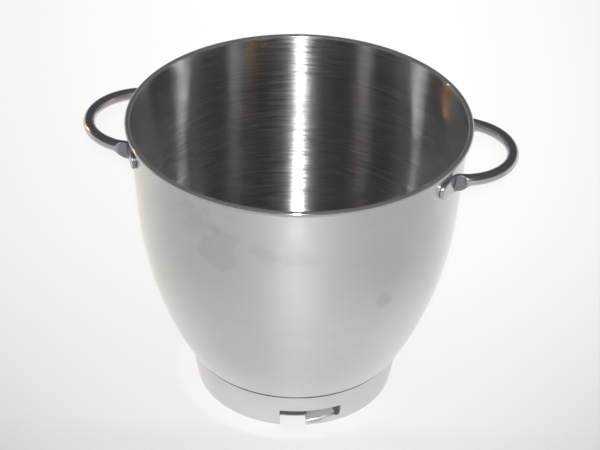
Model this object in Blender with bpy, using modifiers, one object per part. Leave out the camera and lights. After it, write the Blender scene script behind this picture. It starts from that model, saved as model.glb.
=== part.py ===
"""Stainless steel stand mixer bowl: a drawn bowl with a curled rim, a welded foot ring with three bayonet
slots, and two bent rod handles. Metres, +Z up, origin on the bowl's axis at the plane that it stands on,
handles along X."""

import math

import bmesh
import bpy
from mathutils import Vector

MM = 0.001

# Bowl, drawn from one sheet.
HEIGHT = 220.0 * MM  # floor to the top of the rim
RIM_RADIUS = 122.5 * MM  # to the outside of the curled rim
BOWL_SHEET = 0.8 * MM
BEAD_RADIUS = 2.0 * MM  # outside of the curl
CURL_TURN = math.radians(285.0)  # how far the edge is rolled outwards
WALL_TAPER = math.radians(3.6)  # straight upper part of the wall, from the vertical
TAPER_LENGTH = 64.6 * MM  # height of that straight part, down from the curl's centre
WALL_ARC_RADIUS = 290.0 * MM  # the belly below it, seen from the side
BASE_HEIGHT = 17.0 * MM  # floor to the underside of the bowl's bottom
BASE_CORNER_RADIUS = 9.0 * MM
LEDGE_HEIGHT = 31.0 * MM  # underside of the step that the foot ring butts against
LEDGE_OUTER_ROUND = 1.2 * MM
LEDGE_INNER_ROUND = 0.5 * MM
BOWL_SIDES = 72
CURL_STEPS = 9
WALL_STEPS = 9

# Foot ring, pressed from a thicker strip.
RING_SHEET = 1.5 * MM
FOOT_RADIUS = 73.1 * MM  # outside, at the floor
RING_SETBACK = 0.75 * MM  # how far the ring's outer face lies inside the wall at the step
RING_EDGE_ROUND = 1.2 * MM
SLOT_COUNT = 3
SLOT_PITCH = math.tau / SLOT_COUNT
SLOT_ANGLE = math.radians(-82.0)  # middle of the first slot's mouth, from +X
MOUTH_HALF_ANGLE = math.radians(7.5)
SLOT_END_ANGLE = math.radians(27.5)  # closed end of the slot, from the middle of its mouth
SLOT_TOP = 15.5 * MM
SLOT_CORNER_RADIUS = 1.5 * MM
RAMP_START = 5.2 * MM  # top of the folded ledge at the mouth
RAMP_END = 7.8 * MM  # and at its far end
RAMP_END_ANGLE = math.radians(25.0)
FOLD_RADIUS = 2.2 * MM  # outside of the bend
FOLD_DEPTH = 10.0 * MM  # how far the ledge reaches in from the ring's outer face
LEDGE_DEPTH = FOLD_DEPTH - FOLD_RADIUS  # its flat part
LEAD_IN = 3.0 * MM  # corner cut off the ledge where the mixer's lug enters
LEDGE_STEPS = 6
FOLD_STEPS = 3
RING_STEP = math.radians(5.0)  # between the ring's other columns

# Handles, bent from round rod with flattened ends.
ROD_RADIUS = 4.25 * MM
HANDLE_DROP = 15.3 * MM  # rim top down to the rod's centre line
HANDLE_STANDOUT = 28.3 * MM  # outside of the rim to the rod's centre line at its farthest
LOOP_RADIUS = 38.0 * MM
BEND_RADIUS = 5.0 * MM
PAD_THICKNESS = 2.5 * MM
PAD_HEIGHT = 13.2 * MM
PAD_DROP = 1.8 * MM  # rod's centre line down to the pad's
PAD_REACH = 19.8 * MM  # rod's axis to the rounded tip, along the wall
PAD_TIP_RADIUS = 7.0 * MM
NECK_FLAT = 1.5 * MM  # how far the flats carry on past the bend
SHOULDER_LENGTH = 5.0 * MM  # from the end of the flats to the full round rod
SPREAD_LENGTH = 8.0 * MM  # from the bend to where the rod is no longer spread in height
ROD_SIDES = 16
PAD_SHARES = (0.01, 0.05, 0.12, 0.22, 0.36, 0.6, 1.0)  # sections from the pad's tip to the bend
BEND_STEPS = 5
SHOULDER_STEPS = 5
LOOP_STEPS = 9

SEAT_GAP = 0.3 * MM  # left between welded pieces
TOLERANCE = 1e-6  # metres or radians: equal to within this

# Heights and radii that follow from the sizes above.
CURL_RADIUS = BEAD_RADIUS - BOWL_SHEET  # the wall's outer face, carried on inside the curl
CURL_CENTRE_R = RIM_RADIUS - BEAD_RADIUS
CURL_CENTRE_Z = HEIGHT - BEAD_RADIUS
WALL_TOP_R = CURL_CENTRE_R - CURL_RADIUS * math.cos(WALL_TAPER)
WALL_TOP_Z = CURL_CENTRE_Z + CURL_RADIUS * math.sin(WALL_TAPER)
ARC_TOP_Z = CURL_CENTRE_Z - TAPER_LENGTH
ARC_TOP_R = WALL_TOP_R - (WALL_TOP_Z - ARC_TOP_Z) * math.tan(WALL_TAPER)
HANDLE_Z = HEIGHT - HANDLE_DROP
HANDLE_REACH = RIM_RADIUS + HANDLE_STANDOUT


def wall_slope(z):
    """Angle of the wall's outer face from the vertical at a height."""
    below = max(0.0, ARC_TOP_Z - z)
    return math.asin(math.sin(WALL_TAPER) + below / WALL_ARC_RADIUS)


def wall_radius(z):
    """Radius of the wall's outer face at a height above the step."""
    if z >= ARC_TOP_Z:
        return WALL_TOP_R - (WALL_TOP_Z - z) * math.tan(WALL_TAPER)
    return ARC_TOP_R - WALL_ARC_RADIUS * (math.cos(WALL_TAPER) - math.cos(wall_slope(z)))


RING_TOP_Z = LEDGE_HEIGHT - SEAT_GAP
RING_TOP_R = wall_radius(LEDGE_HEIGHT) - RING_SETBACK
RING_TAPER = math.atan((RING_TOP_R - FOOT_RADIUS) / RING_TOP_Z)


def ring_radius(z):
    """Radius of the foot ring's outer face at a height."""
    return FOOT_RADIUS + z * math.tan(RING_TAPER)


def arc(centre, radius, start, end, steps):
    """Points on a circular arc in the profile's plane, both ends included."""
    points = []
    for i in range(steps + 1):
        angle = start + (end - start) * i / steps
        points.append((centre[0] + radius * math.cos(angle), centre[1] + radius * math.sin(angle)))
    return points


def bowl_profile():
    """The bowl's outer face from the end of the curl down to the middle of its bottom."""
    curl_start = math.pi - WALL_TAPER
    curl = arc((CURL_CENTRE_R, CURL_CENTRE_Z), CURL_RADIUS, curl_start - CURL_TURN, curl_start, CURL_STEPS)

    # The wall ends in a rounded edge whose lowest point is the step's underside.
    edge_z = LEDGE_HEIGHT
    for _ in range(20):
        edge_z = LEDGE_HEIGHT + LEDGE_OUTER_ROUND * (1.0 - math.sin(wall_slope(edge_z)))
    edge_slope = wall_slope(edge_z)
    wall = []
    for i in range(WALL_STEPS + 1):
        z = ARC_TOP_Z + (edge_z - ARC_TOP_Z) * i / WALL_STEPS
        wall.append((wall_radius(z), z))

    edge_r = wall_radius(edge_z) - LEDGE_OUTER_ROUND * math.cos(edge_slope)
    edge = arc((edge_r, LEDGE_HEIGHT + LEDGE_OUTER_ROUND), LEDGE_OUTER_ROUND, -edge_slope, -math.pi / 2, 3)

    # Below the step a short neck follows the inside of the foot ring.
    neck_offset = (RING_SHEET + SEAT_GAP) / math.cos(RING_TAPER)
    inner_z = LEDGE_HEIGHT - LEDGE_INNER_ROUND
    start_z = inner_z + LEDGE_INNER_ROUND * math.sin(RING_TAPER)
    inner_r = ring_radius(start_z) - neck_offset + LEDGE_INNER_ROUND * math.cos(RING_TAPER)
    inner = arc((inner_r, inner_z), LEDGE_INNER_ROUND, math.pi / 2, math.pi - RING_TAPER, 2)

    corner_z = BASE_HEIGHT + BASE_CORNER_RADIUS
    end_z = corner_z - BASE_CORNER_RADIUS * math.sin(RING_TAPER)
    corner_r = ring_radius(end_z) - neck_offset - BASE_CORNER_RADIUS * math.cos(RING_TAPER)
    corner = arc((corner_r, corner_z), BASE_CORNER_RADIUS, -RING_TAPER, -math.pi / 2, 5)

    return curl + wall + edge[1:] + inner + corner + [(corner_r / 2, BASE_HEIGHT), (0.0, BASE_HEIGHT)]


def material(name, colour, roughness):
    """A plain metal for one sub-part."""
    made = bpy.data.materials.new(name)
    made.use_nodes = True
    shader = made.node_tree.nodes["Principled BSDF"]
    shader.inputs["Base Color"].default_value = (*colour, 1.0)
    shader.inputs["Metallic"].default_value = 1.0
    shader.inputs["Roughness"].default_value = roughness
    return made


def new_object(name, mesh, collection, finish):
    """Puts a mesh in the scene as one named sub-part."""
    made = bpy.data.objects.new(name, mesh)
    collection.objects.link(made)
    made.data.materials.append(finish)
    return made


def shade(obj, angle=35.0):
    """Smooth shading with creases kept sharp."""
    obj.data.shade_smooth()
    obj.data.set_sharp_from_angle(angle=math.radians(angle))


def make_bowl(collection):
    """Turns the profile round Z and gives it the sheet's thickness on the inside."""
    points = bowl_profile()
    mesh = bpy.data.meshes.new("bowl")
    mesh.from_pydata([(r, 0.0, z) for r, z in points], [(i, i + 1) for i in range(len(points) - 1)], [])
    bowl = new_object("bowl", mesh, collection, material("brushed_steel", (0.62, 0.62, 0.60), 0.28))

    turn = bowl.modifiers.new("turn", "SCREW")
    turn.steps = BOWL_SIDES
    turn.render_steps = BOWL_SIDES
    turn.use_merge_vertices = True
    turn.merge_threshold = 0.00001
    turn.use_smooth_shade = True

    sheet = bowl.modifiers.new("sheet", "SOLIDIFY")
    sheet.thickness = BOWL_SHEET
    sheet.offset = -1.0
    sheet.use_even_offset = True
    return bowl


def slot_columns():
    """The ring's columns in order round Z, each (angle from +X, offset from the middle of its own mouth)."""
    corner = SLOT_CORNER_RADIUS / ring_radius(SLOT_TOP)
    near_corner = [0.0, 0.3 * corner, corner]
    offsets = [-MOUTH_HALF_ANGLE + a for a in near_corner]
    offsets += [MOUTH_HALF_ANGLE * t for t in (-0.5, 0.0, 0.5, 1.0)]
    for i in range(1, LEDGE_STEPS + 1):
        offsets.append(MOUTH_HALF_ANGLE + (RAMP_END_ANGLE - MOUTH_HALF_ANGLE) * i / LEDGE_STEPS)
    offsets += [SLOT_END_ANGLE - a for a in reversed(near_corner)]
    plain = SLOT_PITCH - SLOT_END_ANGLE - MOUTH_HALF_ANGLE
    plain_steps = round(plain / RING_STEP)
    offsets += [SLOT_END_ANGLE + plain * i / plain_steps for i in range(1, plain_steps)]
    mouths = [SLOT_ANGLE + slot * SLOT_PITCH for slot in range(SLOT_COUNT)]
    return [(mouth + offset, offset) for mouth in mouths for offset in offsets]


def slot_offset(point):
    """Angle of a point from the middle of the nearest mouth."""
    angle = math.atan2(point.y, point.x) - SLOT_ANGLE
    return (angle + SLOT_PITCH / 2) % SLOT_PITCH - SLOT_PITCH / 2


def window_top(offset):
    """Upper edge of a slot at an angle from the middle of its mouth, with its two corners rounded."""
    from_side = min(offset + MOUTH_HALF_ANGLE, SLOT_END_ANGLE - offset) * ring_radius(SLOT_TOP)
    if from_side < -TOLERANCE or from_side >= SLOT_CORNER_RADIUS:
        return SLOT_TOP
    rise = math.sqrt(max(0.0, SLOT_CORNER_RADIUS**2 - (SLOT_CORNER_RADIUS - from_side) ** 2))
    return SLOT_TOP - SLOT_CORNER_RADIUS + rise


def tongue_top(offset):
    """Where the bend of the folded ledge starts, at an angle from the middle of the mouth."""
    share = (offset - MOUTH_HALF_ANGLE) / (RAMP_END_ANGLE - MOUTH_HALF_ANGLE)
    return RAMP_START + (RAMP_END - RAMP_START) * min(max(share, 0.0), 1.0) - FOLD_RADIUS


def ring_point(angle, depth, z, rise=0.0):
    """A point a depth inside the ring's outer face at height z, and then a rise above that height."""
    radius = ring_radius(z) - depth
    return Vector((radius * math.cos(angle), radius * math.sin(angle), z + rise))


def extrude_row(bm, edges, column, places):
    """Extrudes edges into one more row of faces, and moves each new vertex to its column's place."""
    made = bmesh.ops.extrude_edge_only(bm, edges=edges)["geom"]
    verts = {item for item in made if isinstance(item, bmesh.types.BMVert)}
    for vert in verts:
        vert.co = places[vert[column]]
    return [item for item in made if isinstance(item, bmesh.types.BMEdge) and set(item.verts) <= verts]


def ring_surface():
    """The strip's outer face: a cone extruded row by row, with three windows taken out of it, and the metal
    below the closed part of each window folded inwards as a ledge."""
    bm = bmesh.new()
    column = bm.verts.layers.int.new("column")
    columns = slot_columns()
    foot = [bm.verts.new(ring_point(angle, 0.0, 0.0)) for angle, _ in columns]
    for i, vert in enumerate(foot):
        vert[column] = i
    edges = [bm.edges.new((vert, foot[(i + 1) % len(foot)])) for i, vert in enumerate(foot)]

    tongues = [tongue_top(offset) for _, offset in columns]
    windows = [window_top(offset) for _, offset in columns]
    bands = [(SLOT_TOP + RING_TOP_Z) / 2] * len(columns)
    tops = [RING_TOP_Z] * len(columns)
    rows = []
    for heights in (tongues, windows, bands, tops):
        edges = extrude_row(bm, edges, column, [ring_point(a, 0.0, z) for (a, _), z in zip(columns, heights)])
        rows.append(edges)

    cut = []
    for face in bm.faces:
        centre = face.calc_center_median()
        offset = slot_offset(centre)
        in_mouth = abs(offset) < MOUTH_HALF_ANGLE
        above_tongue = MOUTH_HALF_ANGLE < offset < SLOT_END_ANGLE and centre.z > tongue_top(offset)
        if centre.z < SLOT_TOP and (in_mouth or above_tongue):
            cut.append(face)
    bmesh.ops.delete(bm, geom=cut, context="FACES")

    edges = []
    for edge in rows[0]:
        if edge.is_valid:
            middle = (edge.verts[0].co + edge.verts[1].co) / 2
            if MOUTH_HALF_ANGLE < slot_offset(middle) < RAMP_END_ANGLE:
                edges.append(edge)
    for step in range(1, FOLD_STEPS + 1):
        turn = math.pi / 2 * step / FOLD_STEPS
        edges = extrude_row(bm, edges, column, fold_places(columns, turn, 0.0, 0.0))
    edges = extrude_row(bm, edges, column, fold_places(columns, math.pi / 2, LEDGE_DEPTH - LEAD_IN, 0.0))
    extrude_row(bm, edges, column, fold_places(columns, math.pi / 2, LEDGE_DEPTH, LEAD_IN))

    bm.normal_update()
    bm.faces.ensure_lookup_table()
    if bm.faces[0].normal.dot(bm.faces[0].calc_center_median()) < 0.0:
        bmesh.ops.reverse_faces(bm, faces=bm.faces)
    bm.verts.layers.int.remove(column)
    return bm


def fold_places(columns, turn, inward, lead_in):
    """Each column's place after a turn through the bend and a way inwards from it. A lead-in moves the
    corner beside the mouth along the ledge."""
    places = []
    for angle, offset in columns:
        start = tongue_top(offset)
        depth = FOLD_RADIUS * (1.0 - math.cos(turn)) + inward
        if abs(offset - MOUTH_HALF_ANGLE) < TOLERANCE:
            angle += lead_in / (ring_radius(start) - depth)
        places.append(ring_point(angle, depth, start, FOLD_RADIUS * math.sin(turn)))
    return places


def make_foot_ring(collection):
    """Gives the strip its thickness, then finishes its floor edge flat and its upper edge round."""
    mesh = bpy.data.meshes.new("foot_ring")
    bm = ring_surface()
    bm.to_mesh(mesh)
    bm.free()
    strip = new_object("foot_ring_strip", mesh, collection, material("satin_steel", (0.66, 0.66, 0.64), 0.32))
    sheet = strip.modifiers.new("sheet", "SOLIDIFY")
    sheet.thickness = RING_SHEET
    sheet.offset = -1.0
    sheet.use_even_offset = True

    bpy.context.view_layer.update()
    solid = bpy.data.meshes.new_from_object(strip.evaluated_get(bpy.context.evaluated_depsgraph_get()))
    bpy.data.objects.remove(strip)
    ring = bpy.data.objects.new("foot_ring", solid)
    collection.objects.link(ring)

    bm = bmesh.new()
    bm.from_mesh(solid)
    rise = RING_SHEET * math.sin(RING_TAPER) + 0.05 * MM
    for vert in bm.verts:
        if abs(vert.co.z) < rise:
            vert.co.z = 0.0
        elif abs(vert.co.z - RING_TOP_Z) < rise:
            vert.co.z = RING_TOP_Z
    outer_edge = []
    for edge in bm.edges:
        at_top = all(abs(vert.co.z - RING_TOP_Z) < TOLERANCE for vert in edge.verts)
        outside = all(vert.co.xy.length > RING_TOP_R - RING_SHEET / 2 for vert in edge.verts)
        if at_top and outside:
            outer_edge.append(edge)
    bmesh.ops.bevel(bm, geom=outer_edge, offset=RING_EDGE_ROUND, segments=3, profile=0.5, affect="EDGES")
    bm.to_mesh(solid)
    bm.free()
    shade(ring)
    return ring


def handle_path():
    """Stations of half a handle, from the pad's tip to the farthest point of the loop, and the distance from
    the tip to the end of the bend. Each station is (point in plan, direction of the section's thickness,
    distance from the tip)."""
    pad_r = wall_radius(HANDLE_Z) + SEAT_GAP + PAD_THICKNESS / 2
    loop_u = HANDLE_REACH - LOOP_RADIUS
    bend_r = pad_r + BEND_RADIUS
    loop_r = LOOP_RADIUS + BEND_RADIUS
    bend_u = (bend_r**2 - loop_r**2 + loop_u**2) / (2 * loop_u)
    bend_v = math.sqrt(bend_r**2 - bend_u**2)
    bend = Vector((bend_u, bend_v))
    loop = Vector((loop_u, 0.0))

    pad_end = math.atan2(bend_v, bend_u)
    pad_tip = math.asin(LOOP_RADIUS / pad_r) + PAD_REACH / pad_r
    loop_start = math.atan2(bend_v, bend_u - loop_u)

    stations = []
    length = pad_r * (pad_tip - pad_end)
    for share in PAD_SHARES:
        angle = pad_tip - share * (pad_tip - pad_end)
        outward = Vector((math.cos(angle), math.sin(angle)))
        stations.append((outward * pad_r, outward, length * share))

    # Round the bend the thickness stays across the path, and the path leaves the wall.
    start = math.atan2(-bend_v, -bend_u)
    end = loop_start - math.pi
    turn = (end - start + math.pi) % math.tau - math.pi
    for i in range(1, BEND_STEPS + 1):
        share = i / BEND_STEPS
        angle = start + turn * share
        inward = Vector((math.cos(angle), math.sin(angle)))
        stations.append((bend + inward * BEND_RADIUS, -inward, length + BEND_RADIUS * abs(turn) * share))
    length += BEND_RADIUS * abs(turn)

    # Close stations over the shoulder, and wider ones round the rest of the loop.
    loop_length = LOOP_RADIUS * loop_start
    marks = [NECK_FLAT + SHOULDER_LENGTH * i / SHOULDER_STEPS for i in range(SHOULDER_STEPS + 1)]
    marks += [marks[-1] + (loop_length - marks[-1]) * i / LOOP_STEPS for i in range(1, LOOP_STEPS + 1)]
    for mark in marks:
        angle = loop_start * (1.0 - mark / loop_length)
        outward = Vector((math.cos(angle), math.sin(angle)))
        stations.append((loop + outward * LOOP_RADIUS, outward, length + mark))
    return stations, length


def smooth_share(value):
    """Eases a share from 0 to 1."""
    value = min(max(value, 0.0), 1.0)
    return value * value * (3.0 - 2.0 * value)


def handle_section(distance, bend_end):
    """Half thickness, half height and drop of the rod's section at a distance from the tip."""
    past_bend = distance - bend_end
    thin = 1.0 - smooth_share((past_bend - NECK_FLAT) / SHOULDER_LENGTH)
    tall = 1.0 - smooth_share(past_bend / SPREAD_LENGTH)
    round_half = ROD_RADIUS * math.cos(math.pi / ROD_SIDES)  # across the sides of the round rod's polygon
    half_thickness = round_half + (PAD_THICKNESS / 2 - round_half) * thin
    half_height = ROD_RADIUS + (PAD_HEIGHT / 2 - ROD_RADIUS) * tall
    if distance < PAD_TIP_RADIUS:
        half_height -= PAD_TIP_RADIUS - math.sqrt(PAD_TIP_RADIUS**2 - (PAD_TIP_RADIUS - distance) ** 2)
    return half_thickness, half_height, PAD_DROP * tall


def section_points(half_thickness, half_height):
    """The section as (across, up): a round one, spread in height and cut by two flats."""
    corner = math.acos(half_thickness / ROD_RADIUS)
    count = ROD_SIDES // 2
    points = []
    for half in (0.0, math.pi):
        for i in range(count):
            turn = half + corner + (math.pi - 2.0 * corner) * i / (count - 1)
            points.append((math.cos(turn) * ROD_RADIUS, math.sin(turn) * half_height))
    return points


def handle_mesh():
    """A loft through the rod's sections, from one flattened end to the other."""
    stations, bend_end = handle_path()
    for point, out, distance in reversed(stations[:-1]):
        stations.append((Vector((point.x, -point.y)), Vector((out.x, -out.y)), distance))

    bm = bmesh.new()
    rings = []
    for point, out, distance in stations:
        half_thickness, half_height, drop = handle_section(distance, bend_end)
        on_wall = 1.0 - smooth_share(distance / bend_end * 2.0 - 1.0)
        ring = []
        for across, rise in section_points(half_thickness, half_height):
            up = rise - drop
            lean = (wall_radius(HANDLE_Z + up) - wall_radius(HANDLE_Z)) * on_wall
            place = point + out * across + point.normalized() * lean
            ring.append(bm.verts.new((place.x, place.y, HANDLE_Z + up)))
        rings.append(ring)
    for near, far in zip(rings, rings[1:]):
        for k in range(ROD_SIDES):
            following = (k + 1) % ROD_SIDES
            bm.faces.new((near[k], near[following], far[following], far[k]))
    bm.faces.new(rings[0])
    bm.faces.new(reversed(rings[-1]))
    bmesh.ops.recalc_face_normals(bm, faces=bm.faces)
    mesh = bpy.data.meshes.new("handle")
    bm.to_mesh(mesh)
    bm.free()
    return mesh


def make_handles(collection):
    """Two equal handles on opposite sides of the bowl."""
    finish = material("polished_steel", (0.55, 0.56, 0.58), 0.08)
    mesh = handle_mesh()
    right = new_object("handle_right", mesh, collection, finish)
    left = bpy.data.objects.new("handle_left", mesh)
    collection.objects.link(left)
    left.rotation_euler = (0.0, 0.0, math.pi)
    shade(right, 40.0)
    return right, left


def clear_scene():
    """Removes what a new file starts with."""
    for obj in list(bpy.data.objects):
        bpy.data.objects.remove(obj)


def main():
    clear_scene()
    collection = bpy.data.collections.new("stand_mixer_bowl")
    bpy.context.scene.collection.children.link(collection)
    make_bowl(collection)
    make_foot_ring(collection)
    make_handles(collection)


main()
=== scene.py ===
"""Dressed model of a stainless steel stand mixer bowl: the drawn bowl with its curled rim, the pressed foot
ring with its bayonet slots, and the two rod handles, in a pale studio."""

from __future__ import annotations

import logging
import math
from dataclasses import dataclass, field
from enum import Enum
from typing import Callable, Iterable, Sequence

import bmesh
import bpy
from mathutils import Matrix, Vector

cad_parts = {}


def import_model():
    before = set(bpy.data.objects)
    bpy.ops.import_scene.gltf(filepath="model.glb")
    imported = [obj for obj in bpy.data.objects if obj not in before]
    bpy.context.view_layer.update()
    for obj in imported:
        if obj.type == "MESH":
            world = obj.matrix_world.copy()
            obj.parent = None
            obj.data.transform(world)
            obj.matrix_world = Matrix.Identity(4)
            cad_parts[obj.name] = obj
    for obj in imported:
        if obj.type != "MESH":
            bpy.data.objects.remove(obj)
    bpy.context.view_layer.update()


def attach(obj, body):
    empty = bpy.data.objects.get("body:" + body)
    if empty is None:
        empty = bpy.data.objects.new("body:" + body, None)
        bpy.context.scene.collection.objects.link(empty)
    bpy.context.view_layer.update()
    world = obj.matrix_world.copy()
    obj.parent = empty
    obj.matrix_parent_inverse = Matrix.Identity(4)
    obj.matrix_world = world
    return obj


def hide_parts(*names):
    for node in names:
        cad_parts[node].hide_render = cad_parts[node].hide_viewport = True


MM = 0.001
BODY = "root"
NOISE_MEAN = 0.5
LOG = logging.getLogger("mixer_bowl")

Point = tuple[float, float]
Triple = tuple[float, float, float]
Socket = bpy.types.NodeSocket
Feed = object  # what a socket is given: a number, a colour, a vector or another node's output


# Modelling helpers


def deselect_all() -> None:
    """Leaves nothing selected in object mode."""
    if bpy.context.object is not None and bpy.context.object.mode != "OBJECT":
        bpy.ops.object.mode_set(mode="OBJECT")
    bpy.ops.object.select_all(action="DESELECT")


def smooth_share(value: float) -> float:
    """Eases a share from 0 to 1.

    Args:
        value: The share, clamped to 0..1.

    Returns:
        The eased share.
    """
    value = min(max(value, 0.0), 1.0)
    return value * value * (3.0 - 2.0 * value)


def arc(centre: Point, radius: float, start: float, end: float, steps: int) -> list[Point]:
    """Points on a circular arc in the profile's plane, both ends included.

    Args:
        centre: The arc's centre, radius and height.
        radius: The arc's own radius.
        start: First angle, in radians.
        end: Last angle, in radians.
        steps: Number of chords.

    Returns:
        The points, as (radius, height).
    """
    points = []
    for i in range(steps + 1):
        angle = start + (end - start) * i / steps
        points.append((centre[0] + radius * math.cos(angle), centre[1] + radius * math.sin(angle)))
    return points


class Workpiece:
    """One mesh that is started as a primitive and shaped in edit mode."""

    PLACE = "place"
    SEED_SIZE = 2.0 * MM
    MERGE_REACH = 0.002 * MM

    def __init__(self, name: str) -> None:
        """Keeps the piece's name.

        Args:
            name: Name of the piece and of its mesh.
        """
        self.name = name
        self.object: bpy.types.Object | None = None

    @property
    def mesh(self) -> bpy.types.Mesh:
        """The piece's mesh."""
        return self.object.data

    def _adopt(self) -> None:
        """Takes the primitive just added as this piece."""
        self.object = bpy.context.active_object
        self.object.name = self.name
        self.object.data.name = self.name

    def start_point(self, place: Vector) -> None:
        """Starts as one vertex, in edit mode with that vertex selected.

        Args:
            place: Where the vertex goes.
        """
        deselect_all()
        bpy.ops.mesh.primitive_plane_add(size=self.SEED_SIZE)
        self._adopt()
        bpy.ops.object.mode_set(mode="EDIT")
        bpy.ops.mesh.select_all(action="SELECT")
        bpy.ops.mesh.merge(type="CENTER")
        bpy.ops.transform.translate(value=place)

    def start_ring(self, places: Sequence[Vector], fill: bool = False) -> None:
        """Starts as a closed ring of vertices, in edit mode with the ring selected.

        Args:
            places: Where each vertex of the circle goes.
            fill: Whether the ring is capped with one face.
        """
        deselect_all()
        bpy.ops.mesh.primitive_circle_add(
            vertices=len(places), radius=places[0].length, fill_type="NGON" if fill else "NOTHING"
        )
        self._adopt()
        label = self.mesh.attributes.new(self.PLACE, "INT", "POINT")
        for i, vert in enumerate(self.mesh.vertices):
            label.data[i].value = i
            vert.co = places[i]
        bpy.ops.object.mode_set(mode="EDIT")
        bpy.ops.mesh.select_all(action="SELECT")

    def extrude_by(self, step: Vector) -> None:
        """Extrudes what is selected along a step.

        Args:
            step: The move of the new vertices.
        """
        bpy.ops.mesh.extrude_region_move(TRANSFORM_OT_translate={"value": step})

    def extrude_ring(self, places: Sequence[Vector]) -> None:
        """Extrudes the selected edges, and moves each new vertex to the place that its ring gives it.

        Args:
            places: One place for each vertex of the first ring.
        """
        bpy.ops.mesh.extrude_region_move()
        shape = bmesh.from_edit_mesh(self.mesh)
        label = shape.verts.layers.int[self.PLACE]
        for vert in shape.verts:
            if vert.select:
                vert.co = places[vert[label]]
        bmesh.update_edit_mesh(self.mesh)

    def select_edges(self, wanted: Callable[[bmesh.types.BMEdge], bool]) -> None:
        """Selects edges by their place.

        Args:
            wanted: Says whether an edge is selected.
        """
        bpy.ops.mesh.select_mode(type="EDGE")
        bpy.ops.mesh.select_all(action="DESELECT")
        shape = bmesh.from_edit_mesh(self.mesh)
        for edge in [edge for edge in shape.edges if wanted(edge)]:
            edge.select_set(True)
        shape.select_flush_mode()
        bmesh.update_edit_mesh(self.mesh)

    def delete_faces(self, wanted: Callable[[bmesh.types.BMFace], bool]) -> None:
        """Deletes faces by their place.

        Args:
            wanted: Says whether a face goes.
        """
        bpy.ops.mesh.select_mode(type="FACE")
        bpy.ops.mesh.select_all(action="DESELECT")
        shape = bmesh.from_edit_mesh(self.mesh)
        for face in shape.faces:
            if wanted(face):
                face.select_set(True)
        bmesh.update_edit_mesh(self.mesh)
        bpy.ops.mesh.delete(type="FACE")

    def merge_doubles(self) -> None:
        """Merges vertices that coincide."""
        bpy.ops.mesh.select_mode(type="VERT")
        bpy.ops.mesh.select_all(action="SELECT")
        bpy.ops.mesh.remove_doubles(threshold=self.MERGE_REACH)

    def face_outwards(self) -> None:
        """Makes the normals of an open skin round the axis consistent, and flips them if they point at the
        axis over most of its area."""
        bpy.ops.mesh.select_all(action="SELECT")
        bpy.ops.mesh.normals_make_consistent(inside=False)
        shape = bmesh.from_edit_mesh(self.mesh)
        shape.normal_update()
        lean = 0.0
        for face in shape.faces:
            centre = face.calc_center_median()
            flat = Vector((centre.x, centre.y, 0.0))
            lean += face.normal.dot(flat) * face.calc_area()
        if lean < 0.0:
            bpy.ops.mesh.flip_normals()

    def leave(self) -> None:
        """Leaves edit mode and drops the ring's labels."""
        bpy.ops.object.mode_set(mode="OBJECT")
        label = self.mesh.attributes.get(self.PLACE)
        if label is not None:
            self.mesh.attributes.remove(label)

    def apply(self, kind: str, **settings: object) -> None:
        """Adds a modifier and applies it.

        Args:
            kind: The modifier's type.
            settings: Its settings.
        """
        bpy.context.view_layer.objects.active = self.object
        modifier = self.object.modifiers.new(kind.lower(), kind)
        for name, value in settings.items():
            setattr(modifier, name, value)
        bpy.ops.object.modifier_apply(modifier=modifier.name)

    def smooth(self, degrees: float) -> None:
        """Shades the piece smooth up to an angle.

        Args:
            degrees: Edges sharper than this stay sharp.
        """
        deselect_all()
        self.object.select_set(True)
        bpy.context.view_layer.objects.active = self.object
        bpy.ops.object.shade_smooth_by_angle(angle=math.radians(degrees))

    def dress(
        self, materials: Sequence[bpy.types.Material], choose: Callable[[Vector, Vector], int]
    ) -> None:
        """Gives each face one of the materials.

        Args:
            materials: The piece's materials, in slot order.
            choose: Picks a slot from a face's centre and normal.
        """
        self.mesh.materials.clear()
        for material in materials:
            self.mesh.materials.append(material)
        for face in self.mesh.polygons:
            face.material_index = choose(face.center, face.normal)


# Shader helpers


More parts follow.
